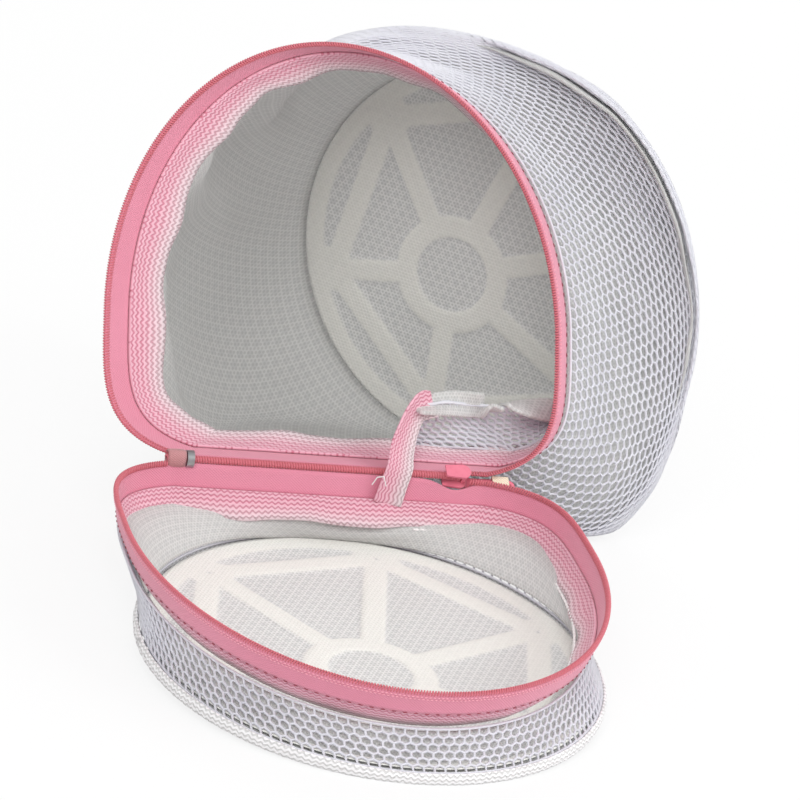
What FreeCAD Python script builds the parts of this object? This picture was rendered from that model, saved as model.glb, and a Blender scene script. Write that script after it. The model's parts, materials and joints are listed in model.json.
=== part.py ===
"""Round mesh washing bag, lying open: drum, lid, zip and two moulded lattice discs.

Frame: millimetres, +Z up, +X along the lid's hinge towards the zip slider, +Y from the mouth
to the back. The floor is Z = 0, and the origin is the middle of the bag's footprint.
"""
import FreeCAD, Part
import math
import os
from FreeCAD import Vector

# ---------------------------------------------------------------- driving dimensions (mm, deg)
# mouth and lid rim: a half ellipse above a squarish base with a straight hinge line
rim_width = 166.0
rim_height = 152.0
belly_height = 50.0          # height above the hinge line where the rim is widest
base_drop = 3.0              # how far the squarish base would sag below the hinge line
hinge_height = 40.0
mouth_lean = 32.0            # the mouth's plane leans back by this much
# drum
drum_radius = rim_width * 0.47   # outer mesh at the closed end
drum_yaw = 40.0              # the closed end faces back and right
drum_reach_x = 84.0          # from the hinge's middle to the end's centre, along X
drum_reach_y = 118.0         # the same along Y
drum_start_pull = 26.0       # how far the wall keeps the mouth band's direction
drum_end_pull = 36.0         # how far it runs straight into the closed end
drum_shear_x = 0.95          # how the mouth band runs sideways, per mm of depth
drum_shear_up = 0.26         # how the mouth band runs up the mouth's plane, per mm of depth
lip = 0.25                   # how the bands narrow, per mm of depth
sag = 24.0                   # how far the underside hangs in the middle of the drum
puff = 4.0                   # how far the soft wall swells in the middle
floor_ease = 2.0             # how softly the wall's underside flattens onto the floor
# lid
lid_depth = 25.0
# fabric and bands
mesh_thick = 1.0
lining_thick = 0.7
layer_gap = 1.0              # between the outer mesh and the lining
tape_thick = 0.8
tape_depth = 7.5
binding_depth = 5.5
binding_thick = 1.4
seam_thick = 1.3
panel_gap = 0.1              # between the layers of an end panel
# zip
coil_radius = 1.15
coil_inset = 1.2             # the coil's centre, inside the tape's edge
mating_gap = 0.2             # from the plane where lid and mouth meet to the coil
chain_radius = 2.2           # both coils meshed
# lattice disc
lattice_radius = drum_radius - 3.0
lattice_thick = 2.0
lattice_rim = 5.0
rib_width = 5.0
node_radius = 7.0
eyelet_radius = 2.2
cell_radius = 21.0           # the round cell
cell_offset = 17.0           # from the disc's centre to the round cell's centre
node_count = 6
node_circle = 0.87           # share of the lattice radius
drum_disc_turn = 20.0        # turn of the drum's disc, and of its round cell's place
drum_cell_turn = 217.0
lid_disc_turn = -15.0
lid_cell_turn = 105.0
# slider and puller, measured from the middle of the slider's tail
slider_place = 41.0          # along the hinge, from its middle
slider_tilt = 59.0           # below horizontal, between the two open tapes
slider_length = 9.0
slider_nose = 5.6            # width across the nose
slider_tail = 4.6            # width across the tail
plate_thick = 0.8
pin_radius = 0.6
puller_length = 24.0
puller_width = 4.4
puller_thick = 1.2
arm_width = 0.8
arm_gap = 2.0                # between the puller's arms, where the bail's ears stand
keeper_width = 6.0           # cream elastic over the puller's tip
keeper_thick = 0.6
keeper_place = 15.0          # from the puller's pin to the keeper
# small fabric parts
tab_length = 6.5
tab_thick = 0.8
strap_width = 7.5
strap_thick = 0.9
strap_place = 25.0           # along the hinge, from its middle
strap_drop = 11.0            # how far the strap hangs into the lid
strap_reach = 27.0           # how far it runs back into the drum
strap_rise = 16.0
running_gap = 0.3
notch_spare = 8.0            # beyond the slider, for the puller

SAMPLES = 48                 # sides of each soft outline
STATIONS = 5                 # sections along each soft wall

X = Vector(1, 0, 0)
Y = Vector(0, 1, 0)
Z = Vector(0, 0, 1)


# ---------------------------------------------------------------- derived frame of the mouth
lean = math.radians(mouth_lean)
mouth_up = Vector(0, math.sin(lean), math.cos(lean))
mouth_in = Vector(0, math.cos(lean), -math.sin(lean))
hinge = Vector(0, 0, hinge_height)
mouth_centre = hinge + mouth_up * (rim_height / 2)
seam_radius = drum_radius + panel_gap + seam_thick
yaw = math.radians(drum_yaw)
end_axis = Vector(math.sin(yaw), math.cos(yaw), 0)
end_right = Vector(math.cos(yaw), -math.sin(yaw), 0)
end_centre = Vector(drum_reach_x, drum_reach_y, seam_radius)
band_start = mating_gap + 2 * coil_radius + 0.1
band_end = band_start + tape_depth
wall_start = band_end + binding_depth


# ---------------------------------------------------------------- outlines
def rim_raw(angle):
    """One point of the rim, from the rim's centre: X to the right, Y up the mouth."""
    cosine, sine = math.cos(angle), math.sin(angle)
    half = rim_width / 2
    if sine >= 0:
        x = half * cosine
        y = belly_height + (rim_height - belly_height) * sine
    else:
        x = half * math.copysign(math.sqrt(abs(cosine)), cosine)
        y = max(belly_height - (belly_height + base_drop) * math.sqrt(-sine), 0.0)
    return (x, y - rim_height / 2)


def evenly_spaced(curve):
    """SAMPLES points at equal steps of length round a closed curve, from its lowest middle."""
    fine = 1440
    loop = [curve(-math.pi / 2 + 2 * math.pi * i / fine) for i in range(fine + 1)]
    run = [0.0]
    for a, b in zip(loop, loop[1:]):
        run.append(run[-1] + math.dist(a, b))
    points = []
    k = 0
    for i in range(SAMPLES):
        target = run[-1] * i / SAMPLES
        while run[k + 1] < target:
            k += 1
        share = (target - run[k]) / max(run[k + 1] - run[k], 1e-9)
        a, b = loop[k], loop[k + 1]
        points.append((a[0] + (b[0] - a[0]) * share, a[1] + (b[1] - a[1]) * share))
    return points


RIM = evenly_spaced(rim_raw)
ROUND = evenly_spaced(lambda angle: (math.cos(angle), math.sin(angle)))


def outline(roundness, radius):
    """Rim outline blended into a circle."""
    rest = 1 - roundness
    return [
        (a[0] * rest + b[0] * radius * roundness, a[1] * rest + b[1] * radius * roundness)
        for a, b in zip(RIM, ROUND)
    ]


def drawn_in(points, inset):
    """Closed outline moved inwards along its own normals."""
    moved = []
    for i, (x, y) in enumerate(points):
        before = points[i - 1]
        after = points[(i + 1) % len(points)]
        run = math.dist(before, after)
        moved.append((x - (after[1] - before[1]) / run * inset, y + (after[0] - before[0]) / run * inset))
    return moved


def rested(points, low):
    """Outline eased up onto the level low, where fabric lies on the floor."""
    return [(x, low + floor_ease * math.log1p(math.exp((y - low) / floor_ease))) for x, y in points]


def section(station, inset, on_floor):
    """Points round one station: (centre, right, up, roundness, radius, swell)."""
    centre, right, up, roundness, radius, swell = station
    points = drawn_in(outline(roundness, radius), -swell)
    if on_floor:
        points = rested(points, -centre.z / up.z)
    return [centre + right * x + up * y for x, y in drawn_in(points, inset)]


def flat(points):
    return Part.Face(Part.makePolygon(points + points[:1]))


def rings(stations, inset, on_floor):
    """Outlines drawn in by inset: in their own planes at the ends, square to the wall between."""
    outer = [section(station, 0.0, on_floor) for station in stations]
    moved = []
    for k, ring in enumerate(outer):
        if k in (0, len(outer) - 1):
            moved.append(section(stations[k], inset, on_floor))
            continue
        loop = []
        for i, point in enumerate(ring):
            around = ring[(i + 1) % SAMPLES] - ring[i - 1]
            along = outer[k + 1][i] - outer[k - 1][i]
            loop.append(point + around.cross(along).normalize() * inset)
        moved.append(loop)
    return moved


def filled(stations, inset, on_floor):
    """Solid through the stations, drawn in by inset, in flat facets as gored fabric is."""
    loops = rings(stations, inset, on_floor)
    faces = [flat(loops[0]), flat(loops[-1])]
    for near, far in zip(loops, loops[1:]):
        for i in range(SAMPLES):
            faces.append(flat([near[i - 1], near[i], far[i]]))
            faces.append(flat([near[i - 1], far[i], far[i - 1]]))
    solid = Part.Solid(Part.Shell(faces))
    if solid.Volume < 0:
        solid.reverse()
    return solid


def tube(stations, outer, inner, on_floor=False):
    """Soft wall through the stations, between two insets, open at both ends."""
    return filled(stations, outer, on_floor).cut(filled(stations, inner, on_floor))


# ---------------------------------------------------------------- stations of the drum
def drum_band(depth):
    """Station parallel to the mouth, at a depth in the tape or the binding."""
    step = mouth_in + X * drum_shear_x + mouth_up * drum_shear_up
    return (mouth_centre + step * depth, X, mouth_up, 0.0, 0.0, -lip * depth)


def drum_wall(share):
    """Station of the soft wall: share 0 at the mouth binding, 1 at the closed end."""
    start = drum_band(wall_start)
    step = mouth_in + X * drum_shear_x + mouth_up * drum_shear_up
    handles = [
        start[0],
        start[0] + step * drum_start_pull,
        end_centre - end_axis * drum_end_pull,
        end_centre,
    ]
    rest = 1 - share
    weights = [rest**3, 3 * rest**2 * share, 3 * rest * share**2, share**3]
    centre = Vector()
    for handle, weight in zip(handles, weights):
        centre += handle * weight
    centre.z -= sag / 2 * math.sin(math.pi * share)
    right = (X * rest + end_right * share).normalize()
    up = (mouth_up * rest + Z * share).normalize()
    swell = -lip * wall_start * rest + (puff + sag / 2) * math.sin(math.pi * share)
    return (centre, right, up, share, drum_radius, swell)


def drum_stations():
    return [drum_wall(i / (STATIONS - 1)) for i in range(STATIONS)]


# ---------------------------------------------------------------- the lid, modelled shut
lid_drop = lid_depth + panel_gap * 3 + lining_thick + lattice_thick + mesh_thick
lid_reach = running_gap * 5 + seam_radius * 2
lid_slope = math.asin(hinge_height / math.hypot(lid_reach, lid_drop)) - math.atan(lid_drop / lid_reach)
lid_opening = 90 + mouth_lean + math.degrees(lid_slope)
lid_end_centre = hinge + mouth_up * (lid_reach - seam_radius) - mouth_in * lid_depth


def lid_band(depth):
    """Station parallel to the lid's rim, at a depth in its tape or binding."""
    return (mouth_centre - mouth_in * depth, X, mouth_up, 0.0, 0.0, -lip * depth)


def lid_stations():
    """From the lid's binding to its round end."""
    start = lid_band(wall_start)
    end = (lid_end_centre, X, mouth_up, 1.0, drum_radius, 0.0)
    return [start, end]


def opened(shape):
    """Turn a piece of the shut lid about the hinge line into the open pose."""
    shape.rotate(hinge, X, lid_opening)
    return shape


# ---------------------------------------------------------------- end panels and lattice discs
drum_end_frame = FreeCAD.Placement(end_centre, FreeCAD.Rotation(end_right, Z, end_axis * -1, "ZXY"))
lid_end_frame = FreeCAD.Placement(lid_end_centre, FreeCAD.Rotation(X, mouth_up, mouth_in * -1, "ZXY"))


def disc(radius, thickness, start):
    """Flat disc whose near face is at start along the local Z."""
    return Part.makeCylinder(radius, thickness, Vector(0, 0, start))


def rib(a, b, width):
    """Bar of the lattice between two points of its plane."""
    run = b - a
    bar = Part.makeBox(run.Length, width, lattice_thick, Vector(0, -width / 2, 0))
    bar.rotate(Vector(), Z, math.degrees(math.atan2(run.y, run.x)))
    bar.translate(a)
    return bar


def lattice(turn, cell_turn):
    """Moulded disc: rim, six eyelet nodes joined by chords, and ribs to an off-centre round cell."""
    rim = disc(lattice_radius, lattice_thick, 0).cut(disc(lattice_radius - lattice_rim, lattice_thick, 0))
    circle = lattice_radius * node_circle
    nodes = []
    for i in range(node_count):
        angle = math.radians(turn + 360 * i / node_count)
        nodes.append(Vector(circle * math.cos(angle), circle * math.sin(angle), 0))
    place = math.radians(cell_turn)
    cell = Vector(cell_offset * math.cos(place), cell_offset * math.sin(place), 0)
    pieces = [Part.makeCylinder(cell_radius, lattice_thick, cell)]
    for i, node in enumerate(nodes):
        pieces.append(Part.makeCylinder(node_radius, lattice_thick, node))
        pieces.append(rib(node, nodes[(i + 1) % node_count], rib_width))
        pieces.append(rib(node, cell, rib_width))
    disc_body = rim.fuse(pieces)
    holes = [Part.makeCylinder(cell_radius - rib_width, lattice_thick, cell)]
    for node in nodes:
        holes.append(Part.makeCylinder(eyelet_radius, lattice_thick, node))
    return disc_body.cut(holes).removeSplitter()


def end_stack(away, turn, cell_turn):
    """Lining panel, lattice and outer panel, stacked outwards; away is -1 or 1 along local Z."""
    layers = []
    start = panel_gap
    inner_radius = drum_radius - mesh_thick - layer_gap
    for shape, thickness in (
        (disc(inner_radius, lining_thick, 0), lining_thick),
        (lattice(turn, cell_turn), lattice_thick),
        (disc(drum_radius, mesh_thick, 0), mesh_thick),
    ):
        shape.translate(Z * (start if away > 0 else -start - thickness))
        layers.append(shape)
        start += thickness + panel_gap
    return layers, start - panel_gap


def end_seam(away, depth):
    """Bound seam round the end's panels, from the wall's edge to the outer face."""
    ring = disc(seam_radius, depth, 0).cut(disc(drum_radius + panel_gap, depth, 0))
    ring.translate(Z * (0 if away > 0 else -depth))
    return ring


def placed(shape, frame):
    shape.Placement = frame.multiply(shape.Placement)
    return shape


# ---------------------------------------------------------------- zip
chain_end = slider_place + slider_length * 0.66
coil_start = slider_place + slider_length + running_gap
tab_place = -rim_width / 3
slider_clear = math.hypot(chain_radius + running_gap + plate_thick, slider_nose / 2) + running_gap


def hinge_notch():
    """Space round the hinge line that the slider needs on its way to the end tab."""
    start = tab_place - tab_length
    return Part.makeCylinder(slider_clear, coil_start + notch_spare - start, hinge + X * start, X)


def coil(bands):
    """Open half of the zip's coil, from the slider round the rim to the end tab."""
    bead = tube(bands, coil_inset - coil_radius, coil_inset + coil_radius)
    start = tab_place - tab_length / 2 - running_gap
    size = coil_radius * 4
    gap = Part.makeBox(coil_start - start, size * 2, size * 2)
    gap.translate(hinge + Vector(start, -size, -size))
    return bead.cut(gap)


def chain():
    """Both coils meshed, along the hinge line."""
    start = tab_place - tab_length / 2
    return Part.makeCylinder(chain_radius, chain_end - start, hinge + X * start, X)


def end_tab():
    """Fabric folded round the zip's closed end."""
    start = hinge + X * (tab_place - tab_length / 2)
    radius = chain_radius + panel_gap
    sleeve = Part.makeCylinder(radius + tab_thick, tab_length, start, X)
    return sleeve.cut(Part.makeCylinder(radius, tab_length, start, X))


def bottom_stop():
    """Metal clamp on the chain beside the tab."""
    start = hinge + X * (tab_place + tab_length / 2 + running_gap)
    clamp = Part.makeCylinder(chain_radius + plate_thick, 2.5, start, X)
    return clamp.cut(Part.makeCylinder(chain_radius + 0.05, 2.5, start, X))


tilt = math.radians(slider_tilt)
slider_out = Vector(0, math.cos(tilt), -math.sin(tilt))
slider_across = slider_out.cross(X)
slider_frame = FreeCAD.Placement(
    hinge + X * slider_place, FreeCAD.Rotation(X, slider_across, slider_out, "ZXY")
)
plate_start = chain_radius + running_gap
pin_height = plate_start + plate_thick + running_gap + pin_radius
pin_place = slider_length * 0.45
bail_height = pin_height + pin_radius + running_gap


def slider_plate(low):
    """One plate of the slider: tail narrower than the nose, with a rounded nose."""
    tail, nose = slider_tail / 2, slider_nose / 2
    shoulder = slider_length - nose
    left = [Vector(0, tail, low), Vector(shoulder, nose, low)]
    right = [Vector(shoulder, -nose, low), Vector(0, -tail, low)]
    edges = [
        Part.makeLine(left[0], left[1]),
        Part.Arc(left[1], Vector(slider_length, 0, low), right[0]).toShape(),
        Part.makeLine(right[0], right[1]),
        Part.makeLine(right[1], left[0]),
    ]
    return Part.Face(Part.Wire(edges)).extrude(Z * plate_thick)


def slider():
    """Two plates joined by a bridge at the nose, with a bail for the puller."""
    body = slider_plate(plate_start).fuse(slider_plate(-plate_start - plate_thick))
    bridge = Part.makeBox(1.6, 1.8, 2 * plate_start + plate_thick)
    bridge.translate(Vector(slider_length - 2.2, -0.9, -plate_start - plate_thick / 2))
    foot = bail_height + plate_thick - plate_start
    ears = []
    for x in (pin_place - 2.4, pin_place + 1.4):
        ears.append(Part.makeBox(1.0, 1.2, foot, Vector(x, -0.6, plate_start)))
    top = Part.makeBox(4.8, 1.2, plate_thick, Vector(pin_place - 2.4, -0.6, bail_height))
    return body.fuse([bridge, top] + ears).removeSplitter()


def puller():
    """Cross pin under the bail, two arms and a rounded paddle with a slot."""
    half = puller_width / 2
    inside = arm_gap / 2
    start = Vector(pin_place, -inside - arm_width, pin_height)
    body = Part.makeCylinder(pin_radius, arm_gap + 2 * arm_width, start, Y)
    low = pin_height - puller_thick / 2
    neck = slider_length - pin_place + arm_width
    for y in (-inside - arm_width, inside):
        body = body.fuse(Part.makeBox(neck, arm_width, puller_thick, Vector(pin_place, y, low)))
    paddle_start = pin_place + neck - arm_width
    length = puller_length - neck - half
    paddle = Part.makeBox(length, puller_width, puller_thick, Vector(paddle_start, -half, low))
    tip = Part.makeCylinder(half, puller_thick, Vector(paddle_start + length, 0, low))
    hole = Part.makeCylinder(half * 0.45, puller_thick, Vector(paddle_start + length, 0, low))
    return body.fuse([paddle, tip]).cut(hole).removeSplitter()


def keeper():
    """Elastic loop over the puller's paddle."""
    half = puller_width / 2 + running_gap
    low = pin_height - puller_thick / 2 - running_gap
    tall = puller_thick + 2 * running_gap
    x = pin_place + keeper_place
    outer = Part.makeBox(
        keeper_width, 2 * (half + keeper_thick), tall + 2 * keeper_thick,
        Vector(x, -half - keeper_thick, low - keeper_thick),
    )
    return outer.cut(Part.makeBox(keeper_width, 2 * half, tall, Vector(x, -half, low)))


def hinge_strap():
    """Mesh covered strap from the lid's tape over the chain to the drum's lining."""
    over = chain_radius + running_gap * 2
    route = [
        (-over * 1.2, -strap_drop),
        (-over * 1.1, -strap_drop / 3),
        (-over * 0.7, over * 0.6),
        (over * 0.4, over * 1.15),
        (strap_reach * 0.3, strap_rise * 0.3),
        (strap_reach * 0.65, strap_rise * 0.55),
        (strap_reach, strap_rise),
    ]
    sides = []
    for offset in (0.0, strap_thick):
        points = []
        for i, (y, z) in enumerate(route):
            before = route[max(i - 1, 0)]
            after = route[min(i + 1, len(route) - 1)]
            run = math.dist(before, after)
            rise = Vector(0, -(after[1] - before[1]) / run, (after[0] - before[0]) / run)
            points.append(hinge + X * (strap_place - strap_width / 2) + Vector(0, y, z) + rise * offset)
        sides.append(points)
    loop = sides[0] + sides[1][::-1]
    return Part.Face(Part.makePolygon(loop + loop[:1])).extrude(X * strap_width)


# ---------------------------------------------------------------- all pieces
def drum_pieces():
    stations = drum_stations()
    lining_inset = mesh_thick + layer_gap
    tape = tube([drum_band(band_start), drum_band(band_end)], 0.0, tape_thick)
    return {
        "drum_outer_mesh": tube(stations, 0.0, mesh_thick, True),
        "drum_lining": tube(stations, lining_inset, lining_inset + lining_thick, True),
        "drum_mouth_binding": tube([drum_band(band_end), drum_band(wall_start)], 0.0, binding_thick),
        "drum_zip_tape": tape.cut(hinge_notch()),
        "drum_zip_coil": coil([drum_band(mating_gap), drum_band(mating_gap + 2 * coil_radius)]),
        "closed_zip_chain": chain(),
        "zip_end_tab": end_tab(),
        "zip_bottom_stop": bottom_stop(),
        "puller_keeper": placed(keeper(), slider_frame),
        "hinge_strap": hinge_strap(),
    }


def drum_end_pieces():
    (lining, disc_body, panel), depth = end_stack(-1, drum_disc_turn, drum_cell_turn)
    return {
        "drum_end_lining_panel": placed(lining, drum_end_frame),
        "drum_end_lattice": placed(disc_body, drum_end_frame),
        "drum_end_outer_panel": placed(panel, drum_end_frame),
        "drum_end_seam_binding": placed(end_seam(-1, depth), drum_end_frame),
    }


def lid_pieces():
    stations = lid_stations()
    lining_inset = mesh_thick + layer_gap
    (lining, disc_body, panel), depth = end_stack(1, lid_disc_turn, lid_cell_turn)
    tape = tube([lid_band(band_start), lid_band(band_end)], 0.0, tape_thick)
    pieces = {
        "lid_outer_mesh": tube(stations, 0.0, mesh_thick),
        "lid_lining": tube(stations, lining_inset, lining_inset + lining_thick),
        "lid_binding": tube([lid_band(band_end), lid_band(wall_start)], 0.0, binding_thick),
        "lid_zip_tape": tape.cut(hinge_notch()),
        "lid_zip_coil": coil([lid_band(mating_gap), lid_band(mating_gap + 2 * coil_radius)]),
        "lid_end_lining_panel": placed(lining, lid_end_frame),
        "lid_end_lattice": placed(disc_body, lid_end_frame),
        "lid_end_outer_panel": placed(panel, lid_end_frame),
        "lid_end_seam_binding": placed(end_seam(1, depth), lid_end_frame),
    }
    return {name: opened(shape) for name, shape in pieces.items()}


def slider_pieces():
    return {
        "zip_slider": placed(slider(), slider_frame),
        "zip_puller": placed(puller(), slider_frame),
    }


def footprint_shift(shapes):
    """Move that puts the middle of the footprint at the origin and the lowest point on Z = 0."""
    box = FreeCAD.BoundBox()
    for shape in shapes:
        box.add(shape.optimalBoundingBox(False, False))
    return Vector(-box.Center.x, -box.Center.y, -box.ZMin)


def main():
    pieces = {}
    for group in (drum_pieces(), drum_end_pieces(), lid_pieces(), slider_pieces()):
        pieces.update(group)
    shift = footprint_shift(pieces.values())
    os.makedirs("parts", exist_ok=True)
    for name, shape in pieces.items():
        shape.translate(shift)
        shape.exportStep(f"parts/{name}.step")
        print(name, "solids", len(shape.Solids), "valid", shape.isValid(), "volume", round(shape.Volume, 1))
    pin = slider_frame.multVec(Vector(pin_place, 0, pin_height)) + shift
    print("hinge at", hinge + shift, "lid opening", lid_opening)
    print("puller pin at", pin, "across", slider_across)
    print("end centre at", end_centre + shift, "axis", end_axis)


main()
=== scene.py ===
# %% [markdown]
# # A round mesh washing bag, lying open
#
# The bag is a drum of two fabrics, a coarse honeycomb net outside and a fine soft lining inside.
# A shallow lid zips onto the mouth, and a moulded plastic lattice keeps each flat end round.
# The hinge, the lid's turn and the slider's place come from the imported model, and the cloth's
# own sizes are named below. This lesson dresses the model: every fabric is built as its own
# mesh, with the threads, coils and seams that the plain solids leave out.

import json
import math

import bmesh
import bpy
from mathutils import Matrix, Vector, noise
from mathutils.bvhtree import BVHTree


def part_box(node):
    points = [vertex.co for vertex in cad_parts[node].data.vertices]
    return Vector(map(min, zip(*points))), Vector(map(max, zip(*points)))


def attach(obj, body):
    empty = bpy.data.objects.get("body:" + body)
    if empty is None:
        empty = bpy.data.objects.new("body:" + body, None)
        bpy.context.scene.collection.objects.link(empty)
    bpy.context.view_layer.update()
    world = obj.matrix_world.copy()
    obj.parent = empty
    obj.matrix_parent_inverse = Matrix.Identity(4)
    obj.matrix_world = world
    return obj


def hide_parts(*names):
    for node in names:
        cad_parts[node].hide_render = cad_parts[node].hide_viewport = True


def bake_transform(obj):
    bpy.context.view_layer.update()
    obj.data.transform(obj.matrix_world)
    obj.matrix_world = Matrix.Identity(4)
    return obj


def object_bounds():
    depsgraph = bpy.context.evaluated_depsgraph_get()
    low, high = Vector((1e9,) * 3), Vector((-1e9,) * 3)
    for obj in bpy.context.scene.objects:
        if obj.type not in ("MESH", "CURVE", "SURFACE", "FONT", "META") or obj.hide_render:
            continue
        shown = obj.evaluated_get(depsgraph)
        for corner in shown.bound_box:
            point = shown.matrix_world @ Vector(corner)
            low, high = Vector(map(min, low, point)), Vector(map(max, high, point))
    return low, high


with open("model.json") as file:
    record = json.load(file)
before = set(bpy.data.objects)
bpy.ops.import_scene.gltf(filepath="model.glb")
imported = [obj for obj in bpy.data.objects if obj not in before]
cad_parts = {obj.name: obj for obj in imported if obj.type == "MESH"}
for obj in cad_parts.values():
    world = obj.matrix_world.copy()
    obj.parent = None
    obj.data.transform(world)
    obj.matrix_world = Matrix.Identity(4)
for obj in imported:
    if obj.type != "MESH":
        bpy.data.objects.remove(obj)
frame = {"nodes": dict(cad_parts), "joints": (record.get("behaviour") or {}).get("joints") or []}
cad_low, cad_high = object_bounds()
joints = {joint["name"]: joint for joint in frame["joints"]}

# %% [markdown]
# ## The camera first
#
# A long lens from a step back and a little above keeps the mouth's outline true. The camera
# is set before any cloth, so each step can be looked at.

# %% Camera
hinge = Vector(joints["lid_hinge"]["pos_m"])
camera_right = Vector((0.9516, -0.2524, 0.1753)).normalized()
camera_back = Vector((-0.2998, -0.8880, 0.3486)).normalized()
camera_up = camera_back.cross(camera_right).normalized()
camera_distance = 1.4
view_width = 0.276

camera_data = bpy.data.cameras.new("camera")
camera_data.sensor_width = 36
camera_data.lens = 36 * camera_distance / view_width
camera = bpy.data.objects.new("camera", camera_data)
bpy.context.scene.collection.objects.link(camera)
aim = hinge + camera_right * 0.0238 + camera_up * 0.0235
turn = Matrix((camera_right, camera_up, camera_back)).transposed()
camera.matrix_world = Matrix.Translation(aim + camera_back * camera_distance) @ turn.to_4x4()
bpy.context.scene.camera = camera
print("lens", round(camera_data.lens, 1), "mm")

# %% [markdown]
# ## The outline that every fabric follows
#
# The mouth is a half ellipse over a squarish base, with a straight run along the hinge.
# Both ends are true circles. One helper walks round either outline at equal steps, so the
# threads of the net stay evenly spaced when the outline changes from one to the other.

# %% Sizes and outlines
rim_width, rim_height, belly_height, base_drop = 0.166, 0.152, 0.050, 0.003
cell_width, strand = 0.0038, 0.00115     # one hole of the coarse net, and its thread
weld_distance = 0.00005                  # points nearer than this become one
round_radius = rim_width * 0.47
lean = math.radians(32)
X, Z = Vector((1, 0, 0)), Vector((0, 0, 1))
mouth_up = Vector((0, math.sin(lean), math.cos(lean)))
mouth_in = Vector((0, math.cos(lean), -math.sin(lean)))
mouth_centre = hinge + mouth_up * rim_height / 2


def rim_point(angle):
    cosine, sine = math.cos(angle), math.sin(angle)
    if sine >= 0:
        height = belly_height + (rim_height - belly_height) * sine
        return Vector((rim_width / 2 * cosine, height - rim_height / 2))
    side = math.copysign(math.sqrt(abs(cosine)), cosine)
    height = max(belly_height - (belly_height + base_drop) * math.sqrt(-sine), 0)
    return Vector((rim_width / 2 * side, height - rim_height / 2))


def walked(curve, count=720):
    """Points at equal steps of length round a closed curve, from its lowest middle."""
    loop = [curve(-math.pi / 2 + math.tau * i / (4 * count)) for i in range(4 * count + 1)]
    run = [0.0]
    for a, b in zip(loop, loop[1:]):
        run.append(run[-1] + (b - a).length)
    points, k = [], 0
    for i in range(count):
        target = run[-1] * i / count
        while run[k + 1] < target:
            k += 1
        part = (target - run[k]) / max(run[k + 1] - run[k], 1e-12)
        points.append(loop[k].lerp(loop[k + 1], part))
    return points, run[-1]


rim_loop, rim_length = walked(rim_point)
round_loop, round_length = walked(lambda a: Vector((math.cos(a), math.sin(a))) * round_radius)
print("rim", round(rim_length, 4), "m round, end", round(round_length, 4), "m round")


def along_loop(loop, share):
    place = (share % 1.0) * len(loop)
    i = int(place) % len(loop)
    return loop[i].lerp(loop[(i + 1) % len(loop)], place - int(place))


def outline(share, roundness, swell):
    """One point of the outline, pushed out by swell."""
    step = 0.004

    def mixed(u):
        return along_loop(rim_loop, u).lerp(along_loop(round_loop, u), roundness)

    tangent = (mixed(share + step) - mixed(share - step)).normalized()
    return mixed(share) + Vector((tangent.y, -tangent.x)) * swell


# %% [markdown]
# ## Surfaces to sew on
#
# A skin is a function from two numbers, how far round and how far along, to a point of the
# fabric's outer face. Flat meshes are made first, where operators are simple, and then laid
# on a skin. The drum's skin bends back and to the right and flattens on the floor; the lid's
# is shallow and lies open.

# %% Skins of the drum and lid
band_lip = 0.25
tape_start, tape_end, wall_start = 0.0012, 0.0101, 0.0156
yaw = math.radians(40)
end_axis = Vector((math.sin(yaw), math.cos(yaw), 0))
end_right = Vector((math.cos(yaw), -math.sin(yaw), 0))
end_centre = hinge + Vector((0.084, 0.118, 0))
end_centre.z = (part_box("drum_end_outer_panel")[0].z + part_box("drum_end_outer_panel")[1].z) / 2
drum_step = mouth_in + X * 0.95 + mouth_up * 0.26
sag, puff, floor_ease = 0.024, 0.004, 0.002
billow = 0.009                # how far the long side bulges past the end's seam


def drum_band(share, depth, inset=0.0):
    """A point of the drum's band: depth is measured in from the mouth, inset towards its middle."""
    point = outline(share, 0, -band_lip * depth - inset)
    return mouth_centre + drum_step * depth + X * point.x + mouth_up * point.y


def drum_wall(share, along):
    """The drum's soft wall: along is 0 at the mouth binding and 1 at the closed end."""
    rest = 1 - along
    start = mouth_centre + drum_step * wall_start
    centre = (
        start * rest**3
        + (start + drum_step * 0.026) * 3 * rest**2 * along
        + (end_centre - end_axis * 0.036) * 3 * rest * along**2
        + end_centre * along**3
    )
    inside = min(max(along, 0), 1)
    arch = math.sin(math.pi * inside)
    centre.z -= sag / 2 * arch
    right = (X * rest + end_right * along).normalized()
    up = (mouth_up * rest + Z * along).normalized()
    long_side = min(1.5 - math.sin(share * math.tau), 1)
    plump = billow * long_side * math.sin(math.pi * inside**1.9)
    swell = (puff + sag / 2) * arch + plump - band_lip * wall_start * rest
    point = outline(share, along, swell)
    low = -centre.z / up.z
    height = point.y
    if height < low + 20 * floor_ease:
        height = low + floor_ease * math.log1p(math.exp((height - low) / floor_ease))
    return centre + right * point.x + up * height


lid_turn = math.radians(joints["lid_hinge"]["range_deg"][1])
opened = Matrix.Translation(hinge) @ Matrix.Rotation(lid_turn, 4, "X") @ Matrix.Translation(-hinge)
lid_depth = 0.025
lid_reach = 0.0015 + 2 * (round_radius + 0.0014)
lid_end_centre = hinge + mouth_up * (lid_reach - round_radius - 0.0014) - mouth_in * lid_depth


def lid_band(share, depth, inset=0.0):
    point = outline(share, 0, -band_lip * depth - inset)
    return opened @ (mouth_centre - mouth_in * depth + X * point.x + mouth_up * point.y)


def lid_wall(share, along):
    start = mouth_centre - mouth_in * wall_start
    point = outline(share, along, -band_lip * wall_start * (1 - along))
    return opened @ (start.lerp(lid_end_centre, along) + X * point.x + mouth_up * point.y)


def inward(skin, share, along, inset, flip):
    """A point of the skin moved in by inset, square to the cloth."""
    u, v = 0.003, 0.004
    around = skin(share + u, along) - skin(share - u, along)
    onward = skin(share, along + v) - skin(share, along - v)
    return skin(share, along) + around.cross(onward).normalized() * (inset * flip)


print("mouth centre", mouth_centre[:], "end centre", end_centre[:])

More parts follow.
